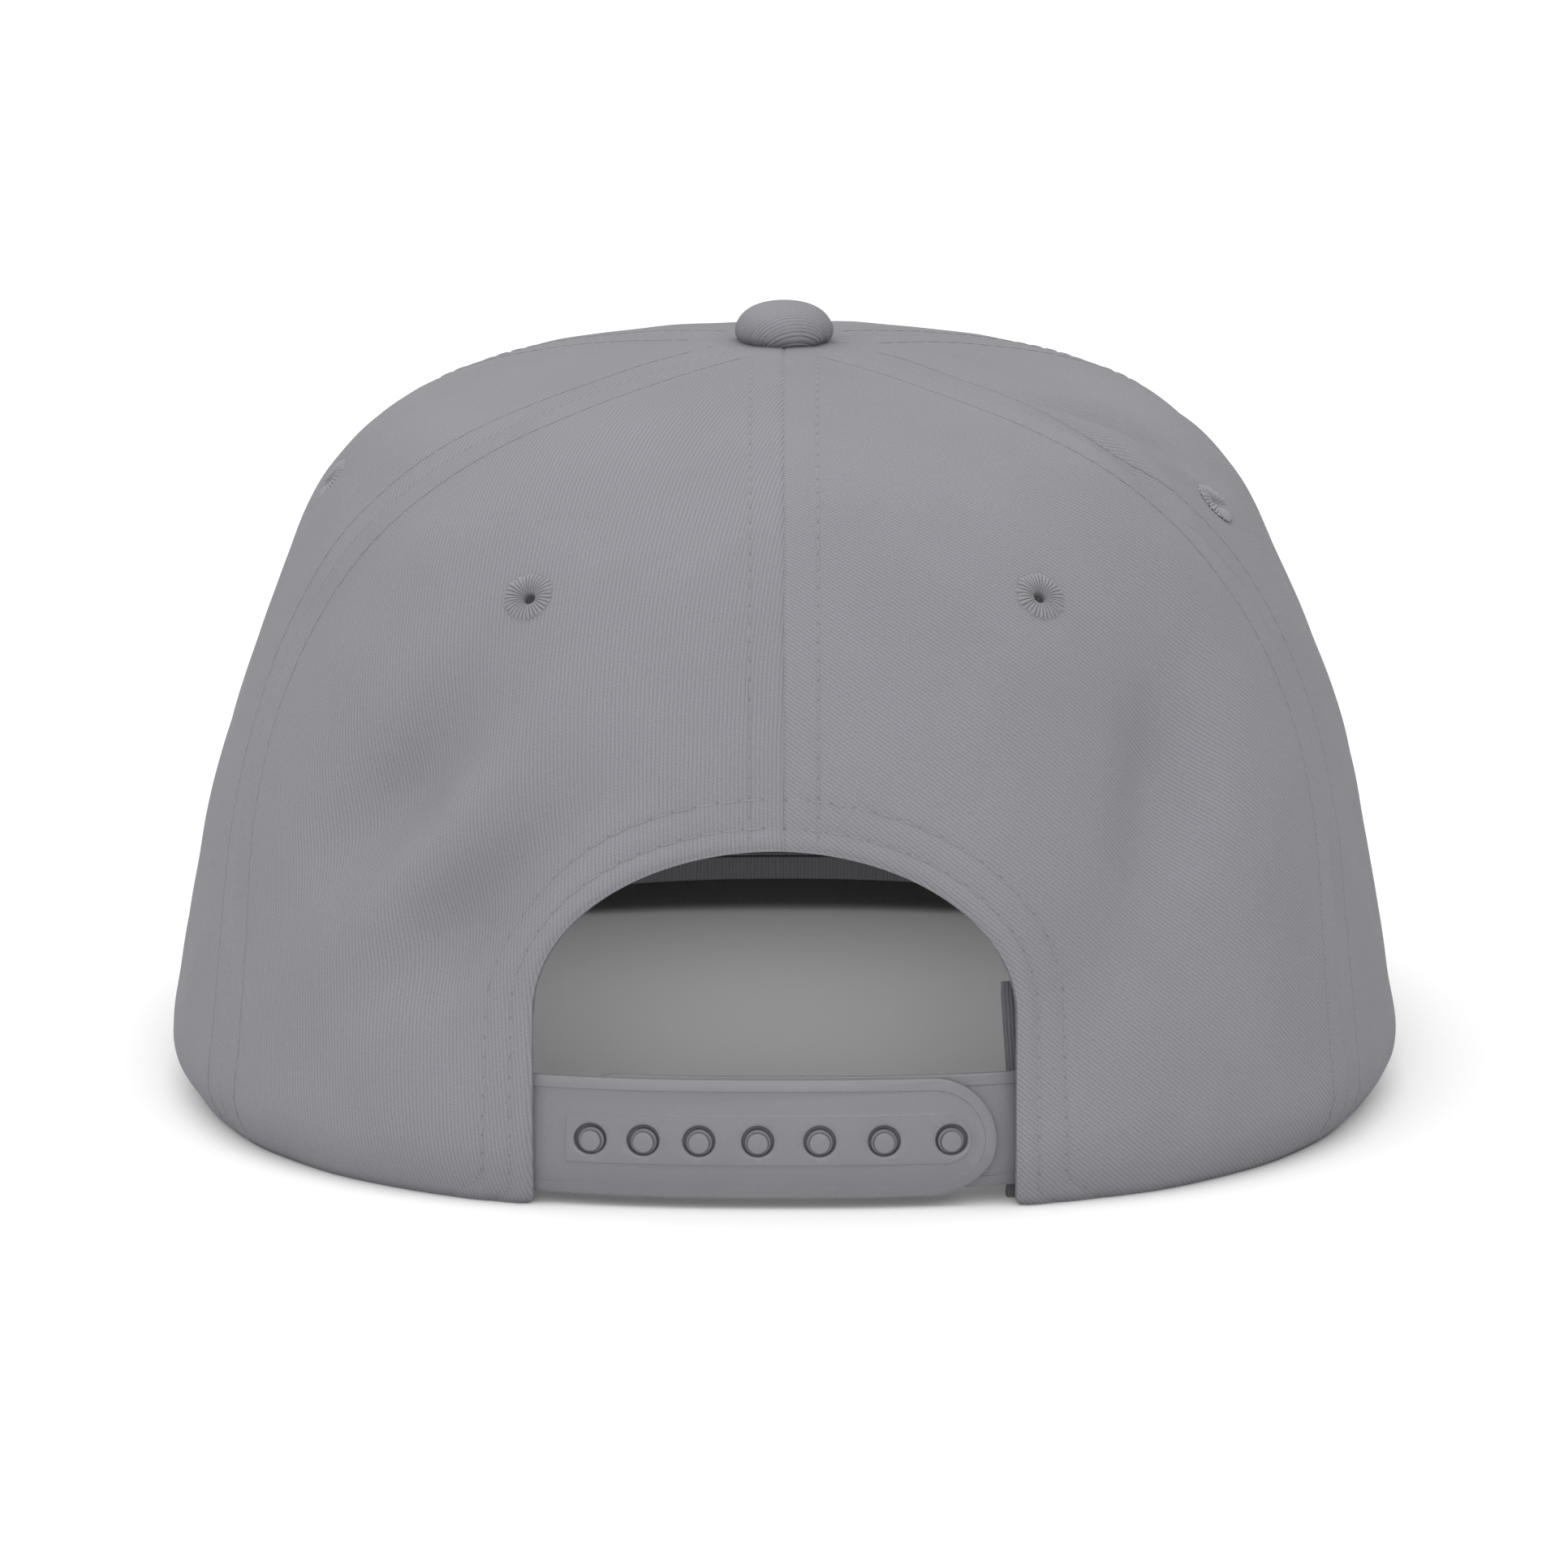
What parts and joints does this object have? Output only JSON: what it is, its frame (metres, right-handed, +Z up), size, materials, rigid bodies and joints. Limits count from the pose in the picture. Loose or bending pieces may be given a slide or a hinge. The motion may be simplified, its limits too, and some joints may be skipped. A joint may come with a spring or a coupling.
{
  "type": "snapback cap",
  "caption": "Flat-peaked snapback cap with a panelled twill crown, covered button, sewn eyelets, arched back opening and snap strap.",
  "frame": {"origin": "on the surface that the cap stands on, under the middle of its box", "axes": "+Y from the crown to the front of the peak, +Z up, +X towards the wearer's right"},
  "size_m": [0.1894, 0.2583, 0.1198],
  "materials": {
    "twill": "grey cotton twill",
    "thread": "grey embroidery thread",
    "band_twill": "darker grey cotton twill",
    "strap_plastic": "grey moulded polyethylene, matte"
  },
  "bodies": {
    "root": {"panel_back_left": "twill", "panel_back_right": "twill", "panel_side_left": "twill", "panel_side_right": "twill", "panel_front_left": "twill", "panel_front_right": "twill", "button": "twill", "eyelet_back_left": "thread", "eyelet_back_right": "thread", "eyelet_side_left": "thread", "eyelet_side_right": "thread", "eyelet_front_left": "thread", "eyelet_front_right": "thread", "peak": "twill", "sweatband": "band_twill", "strap_holes": "strap_plastic", "strap_pegs": "strap_plastic"}
  },
  "joints": []
}
